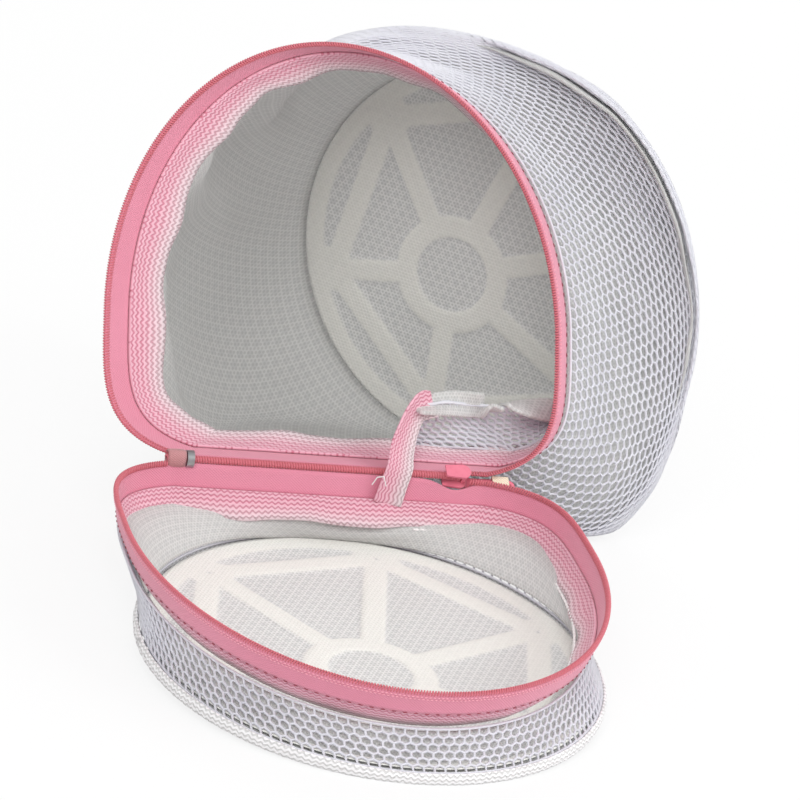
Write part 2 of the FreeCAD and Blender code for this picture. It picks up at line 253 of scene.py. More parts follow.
# %% [markdown]
# ## Helpers for meshes
#
# A flat sheet comes from create_grid and measures one by one. Its UV map is written in metres
# of real cloth before it is bent, so that weaves keep their scale. At the end each piece's
# modifiers are made permanent, because a cloth that bends with a joint has to be a plain mesh.

# %% Mesh helpers
def flat_grid(columns, rows):
    """A flat sheet from 0 to 1 both ways."""
    bm = bmesh.new()
    bmesh.ops.create_grid(bm, x_segments=columns, y_segments=rows, size=0.5)
    bmesh.ops.translate(bm, verts=bm.verts, vec=(0.5, 0.5, 0))
    return bm


def write_uv(bm, width=1.0, height=1.0):
    layer = bm.loops.layers.uv.verify()
    for face in bm.faces:
        for loop in face.loops:
            loop[layer].uv = (loop.vert.co.x * width, loop.vert.co.y * height)


def lay_on(bm, place):
    """Moves each flat point to where place(x, y) puts it."""
    for vert in bm.verts:
        vert.co = place(vert.co.x, vert.co.y)


def to_object(bm, name, material, smooth=True):
    mesh = bpy.data.meshes.new(name)
    for face in bm.faces:
        face.smooth = smooth
    bm.to_mesh(mesh)
    bm.free()
    piece = bpy.data.objects.new(name, mesh)
    bpy.context.scene.collection.objects.link(piece)
    mesh.materials.append(material)
    return piece


def add_modifier(piece, kind, **settings):
    modifier = piece.modifiers.new(kind.title(), kind)
    for key, value in settings.items():
        setattr(modifier, key, value)
    return modifier


def settle(piece):
    """Makes the modifiers, or a curve's thickness, permanent."""
    bpy.context.view_layer.update()
    graph = bpy.context.evaluated_depsgraph_get()
    mesh = bpy.data.meshes.new_from_object(piece.evaluated_get(graph))
    name, materials = piece.name, [slot.material for slot in piece.material_slots]
    bpy.data.objects.remove(piece)
    mesh.name = name
    settled = bpy.data.objects.new(name, mesh)
    bpy.context.scene.collection.objects.link(settled)
    if not mesh.materials:
        for material in materials:
            mesh.materials.append(material)
    print(name, len(mesh.polygons), "faces")
    return settled


# %% [markdown]
# ## Finishes
#
# White polyester net, a greyer soft lining, cream plastic, dyed pink tape and a coral zip
# coil. Every one is procedural. Cloth patterns read the UV map in metres; a honeycomb comes
# from three waves crossing at 60 degrees, because their crests meet on a triangular lattice,
# which is where the holes of a knitted net are.

# %% Material helpers
def srgb(red, green, blue):
    """A colour as a paint chart gives it, made linear for the shader."""
    def linear(value):
        value /= 255
        return value / 12.92 if value <= 0.04045 else ((value + 0.055) / 1.055) ** 2.4

    return (linear(red), linear(green), linear(blue), 1.0)


class Finish:
    """A material and short ways to add and join its nodes."""

    def __init__(self, name, roughness=0.6, specular=0.4, sheen=0.0):
        self.material = bpy.data.materials.new(name)
        self.material.use_nodes = True
        self.tree = self.material.node_tree
        self.shader = self.tree.nodes["Principled BSDF"]
        self.output = self.tree.nodes["Material Output"]
        self.shader.inputs["Roughness"].default_value = roughness
        self.shader.inputs["Specular IOR Level"].default_value = specular
        self.shader.inputs["Sheen Weight"].default_value = sheen

    def node(self, kind, **settings):
        made = self.tree.nodes.new(kind)
        for key, value in settings.items():
            setattr(made, key, value)
        return made

    def join(self, source, target):
        self.tree.links.new(source, target)

    def math(self, operation, a, b=None):
        made = self.node("ShaderNodeMath", operation=operation)
        for slot, value in ((0, a), (1, b)):
            if isinstance(value, (int, float)):
                made.inputs[slot].default_value = value
            elif value is not None:
                self.join(value, made.inputs[slot])
        return made.outputs[0]

    def uv(self):
        return self.node("ShaderNodeTexCoord").outputs["UV"]

    def place(self):
        return self.node("ShaderNodeTexCoord").outputs["Object"]

    def noise(self, vector, scale, detail=2.0):
        made = self.node("ShaderNodeTexNoise")
        made.inputs["Scale"].default_value = scale
        made.inputs["Detail"].default_value = detail
        self.join(vector, made.inputs["Vector"])
        return made.outputs["Fac"]

    def wave(self, vector, pitch, angle):
        """A cosine wave across the cloth, with that pitch and direction."""
        made = self.node("ShaderNodeVectorMath", operation="DOT_PRODUCT")
        size = math.tau / pitch
        self.join(vector, made.inputs[0])
        made.inputs[1].default_value = (math.cos(angle) * size, math.sin(angle) * size, 0)
        return self.math("COSINE", made.outputs["Value"])

    def honeycomb(self, vector, pitch):
        """From 0 on the threads to 1 in the holes of a honeycomb net."""
        across = pitch * math.sqrt(3) / 2
        waves = [self.wave(vector, across, math.pi / 2 + math.tau * k / 3) for k in range(3)]
        total = self.math("ADD", self.math("ADD", waves[0], waves[1]), waves[2])
        return self.ramp(total, -0.9, 1.2)

    def ramp(self, value, low, high, to_low=0.0, to_high=1.0):
        made = self.node("ShaderNodeMapRange", interpolation_type="SMOOTHSTEP")
        self.join(value, made.inputs["Value"])
        limits = {"From Min": low, "From Max": high, "To Min": to_low, "To Max": to_high}
        for key, number in limits.items():
            made.inputs[key].default_value = number
        return made.outputs["Result"]

    def blend(self, factor, first, second):
        made = self.node("ShaderNodeMix", data_type="RGBA")
        self.join(factor, made.inputs[0])
        for slot, colour in ((6, first), (7, second)):
            if isinstance(colour, tuple):
                made.inputs[slot].default_value = colour
            else:
                self.join(colour, made.inputs[slot])
        return made.outputs[2]

    def colour(self, source):
        self.join(source, self.shader.inputs["Base Color"])

    def bump(self, height, distance, strength=1.0):
        made = self.node("ShaderNodeBump")
        made.inputs["Distance"].default_value = distance
        made.inputs["Strength"].default_value = strength
        self.join(height, made.inputs["Height"])
        self.join(made.outputs["Normal"], self.shader.inputs["Normal"])

    def glow_through(self, share, colour):
        """Lets that share of the light through to the other side, as thin white cloth does."""
        through = self.node("ShaderNodeBsdfTranslucent")
        through.inputs["Color"].default_value = colour
        mixed = self.node("ShaderNodeMixShader")
        mixed.inputs[0].default_value = share
        self.join(self.shader.outputs[0], mixed.inputs[1])
        self.join(through.outputs[0], mixed.inputs[2])
        self.join(mixed.outputs[0], self.output.inputs["Surface"])


# %% White net, lining and lattice plastic
def white_net():
    finish = Finish("net polyester", roughness=0.34, specular=0.5, sheen=0.1)
    cloud = finish.noise(finish.place(), 60)
    fibre = finish.noise(finish.place(), 2600, 1)
    tint = finish.blend(cloud, srgb(236, 236, 245), srgb(250, 250, 254))
    finish.colour(tint)
    finish.bump(fibre, 0.0002, 0.6)
    finish.glow_through(0.3, srgb(246, 246, 252))
    return finish.material


def soft_lining(name, pitch, over_lattice=False):
    """Fine knit, with the coarse net's shadow painted on it faintly; the plastic under it shows pale."""
    finish = Finish(name, roughness=0.75, specular=0.25, sheen=0.15)
    holes = finish.honeycomb(finish.uv(), pitch)
    net_shadow = finish.honeycomb(finish.uv(), cell_width)
    cloud = finish.noise(finish.place(), 28, 3)
    thread = finish.blend(cloud, srgb(236, 236, 234), srgb(248, 248, 247))
    shade = finish.blend(cloud, srgb(206, 207, 204), srgb(222, 222, 220))
    knit = finish.blend(holes, thread, shade)
    # painted shade: the coarse net's shadow seen through the lining, a faint darker honeycomb at the
    # net's pitch
    knit = finish.blend(finish.ramp(net_shadow, 0.1, 0.9, 0.0, 0.3), knit, srgb(188, 190, 190))
    if over_lattice:
        pressed = finish.node("ShaderNodeAttribute", attribute_name="pressed").outputs["Fac"]
        knit = finish.blend(finish.ramp(pressed, 0.1, 0.9, 0.0, 0.75), knit, srgb(254, 253, 246))
    finish.colour(knit)
    finish.bump(finish.math("SUBTRACT", 1.0, holes), 0.0003, 0.5)
    finish.glow_through(0.15 if over_lattice else 0.4, srgb(244, 244, 242))
    return finish.material


def lattice_plastic():
    finish = Finish("cream plastic", roughness=0.35, specular=0.5)
    cloud = finish.noise(finish.place(), 40, 3)
    grain = finish.noise(finish.place(), 900, 2)
    finish.colour(finish.blend(cloud, srgb(250, 249, 240), srgb(254, 253, 247)))
    finish.bump(grain, 0.0001, 0.3)
    finish.glow_through(0.3, srgb(254, 253, 246))
    return finish.material


knit_pitch = 0.0014
net_finish = white_net()
lining_finish = soft_lining("lining knit", knit_pitch)
lining_panel_finish = soft_lining("lining panel knit", knit_pitch, over_lattice=True)
plastic_finish = lattice_plastic()
print("white finishes made")

# %% Pink tape, coil, bindings and threads
def pink_weave(name, dark, light, on_solid=False):
    """Tape woven in fine ribs along its length."""
    finish = Finish(name, roughness=0.7, specular=0.25, sheen=0.3)
    uv = finish.place() if on_solid else finish.uv()
    rib = finish.wave(uv, 0.0009, math.pi / 2)
    pick = finish.wave(uv, 0.0011, 0)
    weave = finish.ramp(finish.math("MULTIPLY", rib, pick), -1, 1)
    cloud = finish.noise(finish.place(), 35, 3)
    tint = finish.blend(cloud, dark, light)
    finish.colour(finish.blend(weave, tint, light))
    finish.bump(weave, 0.0003, 0.5)
    return finish.material


def net_over_pink(name, base, thread, far_base, far_thread, width):
    """Folded net over the tape, in rows of little arcs; the pink fades over that width."""
    finish = Finish(name, roughness=0.7, specular=0.25, sheen=0.2)
    uv = finish.uv()
    wobble = finish.math("MULTIPLY", finish.noise(finish.place(), 120, 2), 7.0)
    arcs = finish.math("MULTIPLY", finish.wave(uv, 0.0023, 0), 1.3)
    rows = finish.node("ShaderNodeVectorMath", operation="DOT_PRODUCT")
    rows.inputs[1].default_value = (0, math.tau / 0.0015, 0)
    finish.join(uv, rows.inputs[0])
    bent = finish.math("ADD", finish.math("ADD", rows.outputs["Value"], arcs), wobble)
    gaps = finish.ramp(finish.math("COSINE", bent), -0.2, 0.9)
    split = finish.node("ShaderNodeSeparateXYZ")
    finish.join(uv, split.inputs[0])
    fade = finish.ramp(split.outputs["Y"], width * 0.25, width)
    under = finish.blend(fade, base, far_base)
    finish.colour(finish.blend(gaps, finish.blend(fade, thread, far_thread), under))
    finish.bump(finish.math("SUBTRACT", 1.0, gaps), 0.0005, 0.7)
    return finish.material


def spun_thread(name, dark, light):
    finish = Finish(name, roughness=0.5, specular=0.4, sheen=0.1)
    fibre = finish.noise(finish.place(), 1800, 2)
    finish.colour(finish.blend(fibre, dark, light))
    finish.bump(fibre, 0.0001, 0.5)
    return finish.material


tape_finish = pink_weave("pink tape", srgb(212, 120, 143), srgb(228, 146, 168))
coil_finish = spun_thread("coral coil", srgb(192, 92, 104), srgb(218, 122, 134))
stitch_finish = spun_thread("pale pink stitches", srgb(238, 160, 176), srgb(246, 184, 198))
red_thread_finish = spun_thread("dark red thread", srgb(140, 52, 66), srgb(172, 74, 90))
white_thread_finish = spun_thread("white thread", srgb(226, 224, 224), srgb(248, 246, 244))
binding_finish = net_over_pink(
    "net over pink",
    base=srgb(212, 132, 152),
    thread=srgb(234, 180, 195),
    far_base=srgb(196, 178, 181),
    far_thread=srgb(228, 214, 217),
    width=0.011,
)
net_shade, net_white = srgb(216, 215, 214), srgb(244, 243, 244)
pale_binding_finish = net_over_pink("net over white", net_shade, net_white, net_shade, net_white, 0.009)
cream_finish = pink_weave("cream elastic", srgb(232, 222, 192), srgb(246, 238, 214), on_solid=True)
print("pink finishes made")


# %% Metal and enamel
def hard_finish(name, dark, light, metallic, roughness):
    finish = Finish(name, roughness=roughness)
    finish.shader.inputs["Metallic"].default_value = metallic
    cloud = finish.noise(finish.place(), 400, 3)
    finish.colour(finish.blend(cloud, dark, light))
    finish.bump(cloud, 0.00005, 0.4)
    return finish.material


steel_finish = hard_finish(
    "stop steel", srgb(150, 150, 152), srgb(190, 190, 192), metallic=1.0, roughness=0.35
)
enamel_finish = hard_finish(
    "pink enamel", srgb(222, 116, 138), srgb(236, 136, 156), metallic=0.0, roughness=0.25
)


def repaint(node, material):
    """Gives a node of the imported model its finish."""
    piece = frame["nodes"][node]
    piece.data.materials.clear()
    piece.data.materials.append(material)


for node in ("drum_end_lattice", "lid_end_lattice"):
    repaint(node, plastic_finish)
repaint("zip_slider", enamel_finish)
repaint("zip_puller", enamel_finish)
repaint("zip_bottom_stop", steel_finish)
print("hard finishes made")

# %% [markdown]
# ## The coarse net
#
# The outer fabric is a warp-knitted net whose holes are hexagons about 4 mm wide. A bitmap
# of holes would look painted on, so the strands are real. A grid of small squares turns into
# a brick wall when every other upright edge is dissolved, and into a honeycomb when the
# points shift up and down in turn. Wireframe then gives each edge its thickness.

# %% Honeycomb sheet
def honeycomb_sheet(cells, rows):
    bm = flat_grid(2 * cells, rows)
    place = {v: (round(v.co.x * 2 * cells), round(v.co.y * rows)) for v in bm.verts}
    upright = []
    for edge in bm.edges:
        (i, j), (k, m) = (place[v] for v in edge.verts)
        if i == k and 0 < i < 2 * cells and (i + min(j, m)) % 2:
            upright.append(edge)
    bmesh.ops.dissolve_edges(bm, edges=upright, use_verts=False)
    for vert in bm.verts:
        i, j = place[vert]
        if 0 < j < rows:
            vert.co.y += (1 if (i + j) % 2 == 0 else -1) / (6 * rows)
    return bm


def net_piece(name, bm, thickness=strand):
    bmesh.ops.remove_doubles(bm, verts=bm.verts, dist=weld_distance)
    piece = to_object(bm, name, net_finish, smooth=True)
    add_modifier(
        piece, "WIREFRAME", thickness=thickness, offset=0.0, use_even_offset=False, use_boundary=True
    )
    return settle(piece)


# %% [markdown]
# ## The drum's net and lining
#
# Soft fabric is never smooth. A shared set of slow waves, the valley that the top falls into
# and finer creases move net and lining together, so that the two layers don't cross. The
# lining hangs looser, and has a few long folds of its own that lean into the drum.

# %% Crumples
round_per_along = 3.5         # the rim's length over the wall's, roughly


def fold(share, along, centre, direction, width, length):
    """A soft ridge: 1 on a line across the cloth, fading to 0 beside it and at its ends."""
    du = (share - centre[0] + 0.5) % 1.0 - 0.5
    dv = along - centre[1]
    across = du * math.sin(direction) * round_per_along - dv * math.cos(direction)
    onward = du * math.cos(direction) * round_per_along + dv * math.sin(direction)
    return math.exp(-((across / width) ** 2) - (onward / length) ** 2)


def smooth_step(low, high, value):
    part = min(max((value - low) / (high - low), 0), 1)
    return part * part * (3 - 2 * part)


def crumple(share, along):
    """How far the drum's cloth has moved in, in metres."""
    angle = share * math.tau
    spot = Vector((math.cos(angle) * 1.6, math.sin(angle) * 1.6, along * 2.2))
    slow = noise.noise(spot * 1.3) * 0.0022
    fine = noise.noise(spot * 4.0 + Vector((7, 3, 1))) * 0.0007
    valley = 0.0035 * fold(share, along, (0.44, 0.50), 1.25, 0.20, 0.45)
    fade = smooth_step(0, 0.2, along) * smooth_step(1, 0.6, along)
    return (0.0024 + slow + fine + valley) * fade


def lining_folds(share, along):
    """How much further in the lining hangs than the net, in metres."""
    angle = share * math.tau
    spot = Vector((math.cos(angle) * 2.1, math.sin(angle) * 2.1, along * 3.0))
    loose = 0.0012 + 0.0016 * noise.noise(spot * 1.9 + Vector((2, 9, 4)))
    folds = (
        0.0080 * fold(share, along, (0.62, 0.55), 0.9, 0.06, 0.45)
        + 0.0075 * fold(share, along, (0.70, 0.50), 1.2, 0.07, 0.50)
        + 0.0060 * fold(share, along, (0.80, 0.40), 0.5, 0.07, 0.40)
        + 0.0050 * fold(share, along, (0.55, 0.35), 1.0, 0.05, 0.35)
    )
    return (max(loose, 0.0002) + folds) * math.sin(math.pi * along) ** 0.5


# %% Drum net
wall_length = 0.135
net_inset, lining_inset, lining_thickness = 0.0006, 0.0022, 0.0003
columns = round(rim_length * 0.97 / cell_width)
wall_rows = round(wall_length / (cell_width * math.sqrt(3) / 2))
bm = honeycomb_sheet(columns, wall_rows)
write_uv(bm, rim_length, wall_length)
lay_on(bm, lambda u, v: inward(drum_wall, u, v, net_inset + crumple(u, v), 1))
drum_net = net_piece("drum_net", bm)
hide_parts("drum_outer_mesh")

# %% Drum lining
bm = flat_grid(200, 44)
write_uv(bm, rim_length, wall_length)


def hung(u, v):
    return inward(drum_wall, u, v, lining_inset + crumple(u, v) + lining_folds(u, v), 1)


lay_on(bm, hung)
bmesh.ops.remove_doubles(bm, verts=bm.verts, dist=weld_distance)
lining = to_object(bm, "drum_lining_cloth", lining_finish)
add_modifier(lining, "SOLIDIFY", thickness=lining_thickness, offset=0.0)
drum_lining = settle(lining)
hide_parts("drum_lining")

# %% [markdown]
# ## The closed end
#
# Each flat end is a sandwich: lining panel, plastic lattice, net panel, all caught in one
# bound seam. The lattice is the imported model's own and only gets its plastic. The panels are
# made flat in the end's own plane and then stood up.

# %% End panels
panel_radius, panel_shift, panel_sag, panel_thickness = round_radius - 0.0018, 0.0005, 0.0008, 0.00025
net_dish = 0.0012             # how far a net panel bulges outwards in its middle
pressed_near, pressed_fade = 0.0030, 0.0022     # from the plastic, where the lining looks pressed


def end_frame(centre, right, up):
    """Matrix from a flat panel's own plane to its place."""
    out = right.cross(up)
    turn = Matrix((right, up, out)).transposed().to_4x4()
    return Matrix.Translation(centre) @ turn


def net_disc(name, radius, matrix, lift):
    """Round panel of the coarse net, its rim drawn in to a true circle."""
    cells = round(2 * radius / cell_width) + 2
    rows = round(2 * radius / (cell_width * math.sqrt(3) / 2)) + 2
    bm = honeycomb_sheet(cells, rows)
    width, height = cells * cell_width, rows * cell_width * math.sqrt(3) / 2
    lay_on(bm, lambda x, y: Vector(((x - 0.5) * width, (y - 0.5) * height, 0)))
    outside = [f for f in bm.faces if f.calc_center_median().length > radius - strand]
    bmesh.ops.delete(bm, geom=outside, context="FACES")
    for vert in bm.verts:
        if vert.co.length > radius - strand:
            vert.co *= (radius - strand) / vert.co.length
    write_uv(bm)
    for vert in bm.verts:
        dish = net_dish * (1 - (vert.co.length / radius) ** 2)
        vert.co.z = lift + dish * math.copysign(1, lift)
    bmesh.ops.transform(bm, matrix=matrix, verts=bm.verts)
    return net_piece(name, bm)


def cloth_disc(name, radius, matrix, lift, lattice, sag):
    """Round lining panel, drawn tight over the plastic lattice and sagging between its ribs."""
    bm = bmesh.new()
    bmesh.ops.create_circle(bm, cap_ends=False, segments=240, radius=radius)
    rings, last_shrink = 56, 0.35
    edge = list(bm.edges)
    for k in range(rings):
        shrink = (rings - k - 1) / (rings - k) if k < rings - 1 else last_shrink
        made = bmesh.ops.extrude_edge_only(bm, edges=edge)["geom"]
        verts = [g for g in made if isinstance(g, bmesh.types.BMVert)]
        edge = [g for g in made if isinstance(g, bmesh.types.BMEdge)]
        bmesh.ops.scale(bm, vec=(shrink, shrink, 1), verts=verts)
    bmesh.ops.contextual_create(bm, geom=edge)
    write_uv(bm)
    solid = frame["nodes"][lattice]
    points = [solid.matrix_world @ v.co for v in solid.data.vertices]
    tree = BVHTree.FromPolygons(points, [tuple(p.vertices) for p in solid.data.polygons])
    pressed = bm.verts.layers.float.new("pressed")
    for vert in bm.verts:
        vert.co.z = lift
        gap = tree.find_nearest(matrix @ vert.co)[3]
        touch = min(max((pressed_near - gap) / pressed_fade, 0), 1)
        vert[pressed] = touch * touch * (3 - 2 * touch)
        slack = noise.noise(Vector((vert.co.x * 60, vert.co.y * 60, 3)))
        fade = 1 - (vert.co.length / radius) ** 6
        vert.co.z += sag * fade * (1 - vert[pressed] - 0.25 * slack - 0.25)
    bmesh.ops.recalc_face_normals(bm, faces=bm.faces)
    bmesh.ops.transform(bm, matrix=matrix, verts=bm.verts)
    piece = to_object(bm, name, lining_panel_finish)
    add_modifier(piece, "SOLIDIFY", thickness=panel_thickness, offset=0.0)
    return settle(piece)


def lift_of(box, centre, axis):
    """How far the middle of a node's box lies from the centre, along the axis."""
    low, high = box
    return ((low + high) / 2 - centre).dot(axis)


drum_end_place = end_frame(end_centre, end_right, Z)
end_lining_lift = lift_of(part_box("drum_end_lining_panel"), end_centre, end_axis)
end_net_lift = lift_of(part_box("drum_end_outer_panel"), end_centre, end_axis)
print("end lining at", round(end_lining_lift * 1000, 2), "mm")
print("end net at", round(end_net_lift * 1000, 2), "mm")

# %% Drum end
drum_end_lining = cloth_disc(
    "drum_end_lining_cloth", panel_radius, drum_end_place, -end_lining_lift + panel_shift,
    "drum_end_lattice", -panel_sag,
)
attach(drum_end_lining, "drum_end")
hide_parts("drum_end_lining_panel")
drum_end_net = net_disc("drum_end_net", round_radius, drum_end_place, -end_net_lift)
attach(drum_end_net, "drum_end")
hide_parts("drum_end_outer_panel")
for piece in (drum_net, drum_lining):
    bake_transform(piece)

# %% [markdown]
# ## The lid's cloths
#
# The lid is the same sandwich on a short wall. It lies open in front of the mouth, face
# down, so its lining side is what a person looks into.

# %% Lid net and lining
lid_rows, lid_wall_length = 6, 0.022
bm = honeycomb_sheet(columns, lid_rows)
write_uv(bm, rim_length, lid_wall_length)


def lid_wave(share, along):
    spot = Vector((math.cos(share * math.tau) * 2, math.sin(share * math.tau) * 2, along))
    return 0.0008 * math.sin(math.pi * along) * (1 + noise.noise(spot * 2))


lay_on(bm, lambda u, v: inward(lid_wall, u, v, net_inset + lid_wave(u, v), -1))
lid_net = net_piece("lid_net", bm)
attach(lid_net, "lid")
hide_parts("lid_outer_mesh")

bm = flat_grid(200, 10)
write_uv(bm, rim_length, lid_wall_length)
lay_on(bm, lambda u, v: inward(lid_wall, u, v, lining_inset + 2 * lid_wave(u, v), -1))
bmesh.ops.remove_doubles(bm, verts=bm.verts, dist=weld_distance)
lining = to_object(bm, "lid_lining_cloth", lining_finish)
add_modifier(lining, "SOLIDIFY", thickness=lining_thickness, offset=0.0)
lid_lining = settle(lining)
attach(lid_lining, "lid")
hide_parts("lid_lining")

# %% Lid end
lid_up = (opened.to_3x3() @ mouth_up).normalized()
lid_out = (opened.to_3x3() @ -mouth_in).normalized()
lid_centre = opened @ lid_end_centre
lid_end_place = end_frame(lid_centre, X, lid_up)
lid_lining_lift = lift_of(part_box("lid_end_lining_panel"), lid_centre, lid_out)
lid_net_lift = lift_of(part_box("lid_end_outer_panel"), lid_centre, lid_out)
print("lid lining at", round(lid_lining_lift * 1000, 2), "mm")
print("lid net at", round(lid_net_lift * 1000, 2), "mm")
lid_end_lining = cloth_disc(
    "lid_end_lining_cloth", panel_radius, lid_end_place, lid_lining_lift - panel_shift,
    "lid_end_lattice", panel_sag,
)
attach(lid_end_lining, "lid")
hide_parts("lid_end_lining_panel")
lid_end_net = net_disc("lid_end_net", round_radius, lid_end_place, lid_net_lift - net_dish)
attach(lid_end_net, "lid")
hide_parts("lid_end_outer_panel")

# %% [markdown]
# ## Bound seams and bands
#
# The pink tape and the binding behind it are flat bands, woven narrow, sewn round the rim.
# Each is a grid laid on the rim's band, thickened with Solidify. The binding is net folded
# over the raw edge, and it puckers, so its inner edge waves in and out.

# %% Bands round the mouth and the lid
slider_x = (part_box("zip_slider")[0].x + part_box("zip_slider")[1].x) / 2 - hinge.x
pucker_length, notch_width = 0.0065, 0.007
tape_inset, tape_thickness = 0.0006, 0.0007
binding_inset, binding_thickness, binding_wave, tape_lap = 0.0016, 0.0010, 0.0007, 0.0008


def band(name, skin, low, high, inset, thickness, material, flip, wave=0.0, notch=0.0, lean_in=0.0):
    """A band of cloth round the rim between two depths; notch makes room for the slider."""
    bm = flat_grid(320, 6)
    write_uv(bm, rim_length, high - low)

    def place(u, v):
        ruffle = math.sin(u * rim_length / pucker_length) + noise.noise(Vector((u * 40, 5, 2))) * 1.6
        from_slider = ((u + 0.5) % 1.0 - 0.5) * rim_length - slider_x
        edge = low + notch * math.exp(-((from_slider / notch_width) ** 2))
        depth = edge + (high - edge) * v + wave * ruffle * v * 0.7
        return inward(skin, u, depth, inset + lean_in * v * v + wave * 0.7 * ruffle * v, flip)

    lay_on(bm, place)
    bmesh.ops.remove_doubles(bm, verts=bm.verts, dist=weld_distance)
    piece = to_object(bm, name, material)
    add_modifier(piece, "SOLIDIFY", thickness=thickness, offset=0.0)
    return settle(piece)


drum_tape = band(
    "drum_tape", drum_band, tape_start, tape_end, tape_inset, tape_thickness, tape_finish, 1,
    notch=0.001,
)
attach(drum_tape, "drum")
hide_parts("drum_zip_tape")
drum_binding = band(
    "drum_mouth_binding_cloth", drum_band, tape_end - tape_lap, wall_start + 0.0035,
    binding_inset, binding_thickness, binding_finish, 1,
    wave=binding_wave, lean_in=0.0032,
)
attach(drum_binding, "drum")
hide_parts("drum_mouth_binding")
lid_tape = band(
    "lid_tape", lid_band, tape_start, tape_end, tape_inset, tape_thickness, tape_finish, -1,
    notch=0.0035,
)
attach(lid_tape, "lid")
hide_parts("lid_zip_tape")
lid_binding = band(
    "lid_binding_cloth", lid_band, tape_end - tape_lap, wall_start + 0.0025,
    binding_inset, binding_thickness, binding_finish, -1,
    wave=binding_wave, lean_in=0.0030,
)
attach(lid_binding, "lid")
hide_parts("lid_binding")


# %% End seams
def end_seam(name, matrix, low, high, material):
    """Rounded binding round an end: an oval profile spun once round."""
    bm = bmesh.new()
    bmesh.ops.create_circle(bm, cap_ends=False, segments=12, radius=1.0)
    bmesh.ops.scale(bm, vec=(0.0009, (high - low) / 2, 1), verts=bm.verts)
    upright = Matrix.Rotation(math.pi / 2, 3, "X")
    bmesh.ops.rotate(bm, verts=bm.verts, cent=(0, 0, 0), matrix=upright)
    bmesh.ops.translate(bm, verts=bm.verts, vec=(round_radius + 0.0006, 0, (low + high) / 2))
    bmesh.ops.spin(
        bm, geom=bm.edges[:], cent=(0, 0, 0), axis=(0, 0, 1),
        angle=math.tau, steps=240, use_merge=True,
    )
    bmesh.ops.recalc_face_normals(bm, faces=bm.faces)
    layer = bm.loops.layers.uv.verify()
    for face in bm.faces:
        for loop in face.loops:
            spot = loop.vert.co
            loop[layer].uv = (math.atan2(spot.y, spot.x) * round_radius, spot.z)
    for vert in bm.verts:
        turns = math.atan2(vert.co.y, vert.co.x) * 90
        vert.co *= 1 + 0.0016 * math.sin(turns + vert.co.z * 1500)
    bmesh.ops.transform(bm, matrix=matrix, verts=bm.verts)
    return to_object(bm, name, material)


seam_depth = 0.0044
drum_seam = end_seam("drum_end_seam", drum_end_place, -seam_depth, -0.0001, pale_binding_finish)
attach(drum_seam, "drum_end")
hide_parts("drum_end_seam_binding")
lid_seam = end_seam("lid_end_seam", lid_end_place, 0.0001, seam_depth, pale_binding_finish)
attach(lid_seam, "lid")
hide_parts("lid_end_seam_binding")

# %% [markdown]
# ## The zip
#
# A coil zip is one springy nylon filament on each tape edge. Each open half is a flattened
# helix, just under 1 mm from turn to turn, and where it is closed the two helices mesh and
# look like one thick one. A curve with a round bevel draws a helix with few points.

# %% Coils
coil_pitch, points_per_turn = 0.00095, 8
coil_start_x, chain_low, chain_high = 0.0503, -0.0586, 0.0468     # along the hinge, from its middle
coil_half_width, coil_half_height, coil_depth, coil_inset = 0.0008, 0.0006, 0.0013, 0.0009
coil_wire_radius, chain_wire_radius = 0.00034, 0.00048


def wire(name, points, radius, material, closed=False, sides=2):
    """A round filament through the points."""
    data = bpy.data.curves.new(name, "CURVE")
    data.dimensions = "3D"
    data.bevel_depth = radius
    data.bevel_resolution = sides
    data.resolution_u = 1
    spline = data.splines.new("POLY")
    spline.points.add(len(points) - 1)
    for item, point in zip(spline.points, points):
        item.co = (*point, 1)
    spline.use_cyclic_u = closed
    data.use_fill_caps = not closed
    data.materials.append(material)
    piece = bpy.data.objects.new(name, data)
    bpy.context.scene.collection.objects.link(piece)
    return settle(piece)


def helix(skin, start, end):
    """Points of a flattened coil along the rim."""
    turns = round((end - start) * rim_length / coil_pitch)
    points = []
    for k in range(turns * points_per_turn + 1):
        angle = math.tau * k / points_per_turn
        share = start + (end - start) * k / (turns * points_per_turn)
        depth = coil_depth + coil_half_width * math.cos(angle)
        points.append(skin(share, depth, coil_inset + coil_half_height * math.sin(angle)))
    return points


coil_low, coil_high = coil_start_x / rim_length, 1 + chain_low / rim_length
drum_turns = helix(drum_band, coil_low, coil_high)
drum_coil = wire("drum_coil", drum_turns, coil_wire_radius, coil_finish, sides=1)
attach(drum_coil, "drum")
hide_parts("drum_zip_coil")
lid_turns = helix(lid_band, coil_low, coil_high)
lid_coil = wire("lid_coil", lid_turns, coil_wire_radius, coil_finish, sides=1)
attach(lid_coil, "lid")
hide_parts("lid_zip_coil")


# %% Closed chain
def chain_points():
    points = []
    turns = round((chain_high - chain_low) / coil_pitch)
    for k in range(turns * points_per_turn + 1):
        angle = math.tau * k / points_per_turn
        x = chain_low + (chain_high - chain_low) * k / (turns * points_per_turn)
        points.append(hinge + Vector((x, 0.0012 * math.cos(angle), 0.0009 * math.sin(angle))))
    return points


chain = wire("closed_chain", chain_points(), chain_wire_radius, coil_finish, sides=1)
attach(chain, "drum")
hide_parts("closed_zip_chain")

# %% [markdown]
# ## Threads
#
# Two rows of pale chain stitch hold each coil down, and they are the dotted lines that catch
# the light. A dark red thread shows at the edge of each binding, and a thick white one is
# braided along the lid's inner edge. Each stitch is one small stretched ball.

